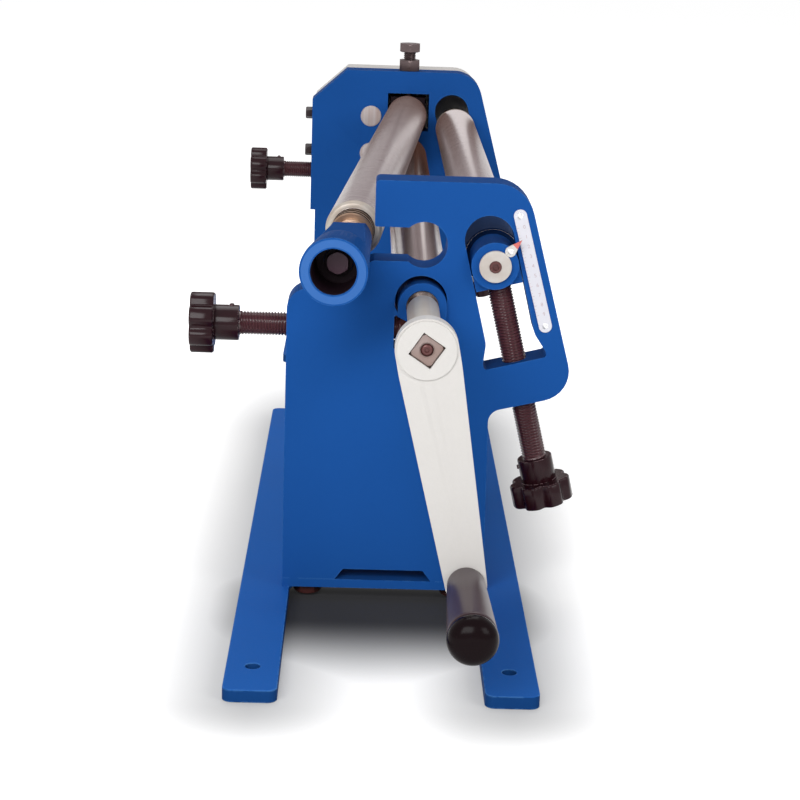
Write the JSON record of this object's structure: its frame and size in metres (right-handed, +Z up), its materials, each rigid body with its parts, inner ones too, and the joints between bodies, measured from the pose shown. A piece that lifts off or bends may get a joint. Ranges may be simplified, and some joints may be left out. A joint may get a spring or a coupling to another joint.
{
  "type": "slip roll machine",
  "caption": "Bench slip roll with a cranked lower roll, a geared top roll that swings out, and a rear roll set by star-knob screws in two frames on foot rails.",
  "frame": {"origin": "on the bench, in the middle of the four bench bolt holes", "axes": "+Y along the rolls away from the crank, +X towards the rear roll, +Z up"},
  "size_m": [0.2589, 1.0223, 0.313],
  "materials": {
    "blue_paint": "smooth semi-gloss blue paint",
    "cream_paint": "smooth semi-gloss off-white paint",
    "roll_steel": "turned and ground steel with a thin oil film",
    "turned_steel": "turned steel",
    "gear_steel": "cut steel, oiled",
    "zinc_bolt": "bright zinc plating",
    "dark_bolts": "blackened steel",
    "blackened_screw": "brown-black oxide on a cut thread",
    "black_knob": "moulded black plastic",
    "black_grip": "polished black plastic",
    "white_plate": "white enamel with engraved ticks"
  },
  "bodies": {
    "frame_body": {"left_rail": "blue_paint", "right_rail": "blue_paint", "front_crossbar": "blue_paint", "rear_crossbar": "blue_paint", "weld_beads": "blue_paint", "near_frame": "blue_paint", "far_frame": "blue_paint", "foot_bolts": "dark_bolts", "swivel_bolt": "dark_bolts", "swivel_locknut": "dark_bolts", "swivel_pin": "turned_steel", "idler_studs": "turned_steel", "stud_set_screws": "dark_bolts", "idler_clips": "turned_steel", "scale_plate": "white_plate", "scale_rivets": "zinc_bolt", "gear_cover": "cream_paint", "cover_pillars": "turned_steel", "cover_screws": "dark_bolts"},
    "upper_swivel": {"swivel_block": "turned_steel"},
    "upper_roll_body": {"upper_roll": "roll_steel", "upper_gear": "gear_steel", "upper_gear_key": "gear_steel", "upper_gear_nut": "zinc_bolt", "sleeve_washer": "dark_bolts", "sleeve_bolt": "dark_bolts"},
    "sleeve": {"release_sleeve": "blue_paint"},
    "lower_carriage": {"lower_block_near": "blue_paint", "lower_block_far": "blue_paint"},
    "lower_roll_body": {"lower_roll": "roll_steel", "lower_gear": "gear_steel", "lower_gear_key": "gear_steel", "lower_gear_nut": "zinc_bolt", "crank_arm": "cream_paint", "crank_screw": "dark_bolts", "grip_pin": "turned_steel"},
    "grip": {"crank_grip": "black_grip"},
    "rear_carriage": {"rear_block_near": "blue_paint", "rear_block_far": "blue_paint", "rear_dog_pins": "turned_steel", "pointer": "white_plate", "pointer_rivet": "zinc_bolt"},
    "rear_roll_body": {"rear_roll": "roll_steel", "rear_washers": "zinc_bolt", "rear_end_screws": "dark_bolts"},
    "rear_adjuster_near": {"rear_screw_near": "blackened_screw", "rear_knob_near": "black_knob"},
    "rear_adjuster_far": {"rear_screw_far": "blackened_screw", "rear_knob_far": "black_knob"},
    "wedge_near_body": {"wedge_near": "turned_steel", "wedge_pins_near": "turned_steel"},
    "wedge_far_body": {"wedge_far": "turned_steel", "wedge_pins_far": "turned_steel"},
    "lift_adjuster_near": {"lift_screw_near": "blackened_screw", "lift_knob_near": "black_knob"},
    "lift_adjuster_far": {"lift_screw_far": "blackened_screw", "lift_knob_far": "black_knob"},
    "idler_low": {"idler_low_gear": "gear_steel"},
    "idler_high": {"idler_high_gear": "gear_steel"}
  },
  "joints": [
    {"name": "roll_swing", "type": "hinge", "parent": "frame_body", "child": "upper_swivel", "pos_m": [0.0215, 0.3705, 0.2455], "axis": [0, 0, 1], "range_deg": [-6, 4.2]},
    {"name": "upper_roll_turn", "type": "hinge", "parent": "upper_swivel", "child": "upper_roll_body", "pos_m": [0.0215, 0.3705, 0.2455], "axis": [0.0732, 0.9973, 0], "continuous": true},
    {"name": "sleeve_turn", "type": "hinge", "parent": "upper_swivel", "child": "sleeve", "pos_m": [0.0215, 0.3705, 0.2455], "axis": [0.0732, 0.9973, 0], "range_deg": [0, 90]},
    {"name": "lower_lift", "type": "slide", "parent": "frame_body", "child": "lower_carriage", "axis": [0, 0, 1], "range_m": [-0.002, 0.0017]},
    {"name": "crank_turn", "type": "hinge", "parent": "lower_carriage", "child": "lower_roll_body", "pos_m": [0.0215, 0, 0.2052], "axis": [0, 1, 0], "continuous": true},
    {"name": "grip_turn", "type": "hinge", "parent": "lower_roll_body", "child": "grip", "pos_m": [0.05064, -0.462, 0.05806], "axis": [0, 1, 0], "continuous": true},
    {"name": "idler_low_turn", "type": "hinge", "parent": "frame_body", "child": "idler_low", "pos_m": [-0.01444, 0.383, 0.2073], "axis": [0, 1, 0], "continuous": true},
    {"name": "idler_high_turn", "type": "hinge", "parent": "frame_body", "child": "idler_high", "pos_m": [-0.01444, 0.383, 0.2433], "axis": [0, 1, 0], "continuous": true},
    {"name": "rear_travel", "type": "slide", "parent": "frame_body", "child": "rear_carriage", "axis": [-0.2419, 0, 0.9703], "range_m": [-0.04, 0.014]},
    {"name": "rear_roll_turn", "type": "hinge", "parent": "rear_carriage", "child": "rear_roll_body", "pos_m": [0.0676, 0, 0.234], "axis": [0, 1, 0], "continuous": true},
    {"name": "rear_knob_turn_near", "type": "hinge", "parent": "rear_carriage", "child": "rear_adjuster_near", "pos_m": [0.0676, -0.2995, 0.234], "axis": [-0.2419, 0, 0.9703], "range_deg": [-7201, 2521]},
    {"name": "rear_knob_turn_far", "type": "hinge", "parent": "rear_carriage", "child": "rear_adjuster_far", "pos_m": [0.0676, 0.3705, 0.234], "axis": [-0.2419, 0, 0.9703], "range_deg": [-7201, 2521]},
    {"name": "wedge_slide_near", "type": "slide", "parent": "frame_body", "child": "wedge_near_body", "axis": [1, 0, 0], "range_m": [-0.00405, 0.00345]},
    {"name": "wedge_slide_far", "type": "slide", "parent": "frame_body", "child": "wedge_far_body", "axis": [1, 0, 0], "range_m": [-0.00405, 0.00345]},
    {"name": "lift_knob_turn_near", "type": "hinge", "parent": "wedge_near_body", "child": "lift_adjuster_near", "pos_m": [0.0076, -0.2995, 0.1875], "axis": [1, 0, 0], "range_deg": [-721, 613]},
    {"name": "lift_knob_turn_far", "type": "hinge", "parent": "wedge_far_body", "child": "lift_adjuster_far", "pos_m": [0.0076, 0.3705, 0.1875], "axis": [1, 0, 0], "range_deg": [-721, 613]}
  ],
  "couplings": [
    {"joint": "idler_low_turn", "follows": "crank_turn", "ratio": -1},
    {"joint": "idler_high_turn", "follows": "crank_turn", "ratio": 1},
    {"joint": "upper_roll_turn", "follows": "crank_turn", "ratio": -1},
    {"joint": "rear_knob_turn_near", "follows": "rear_travel", "rad_per_m": 3141.6},
    {"joint": "rear_knob_turn_far", "follows": "rear_travel", "rad_per_m": 3141.6},
    {"joint": "wedge_slide_near", "follows": "lower_lift", "ratio": 2},
    {"joint": "wedge_slide_far", "follows": "lower_lift", "ratio": 2},
    {"joint": "lift_knob_turn_near", "follows": "lower_lift", "rad_per_m": 6283.2},
    {"joint": "lift_knob_turn_far", "follows": "lower_lift", "rad_per_m": 6283.2}
  ]
}
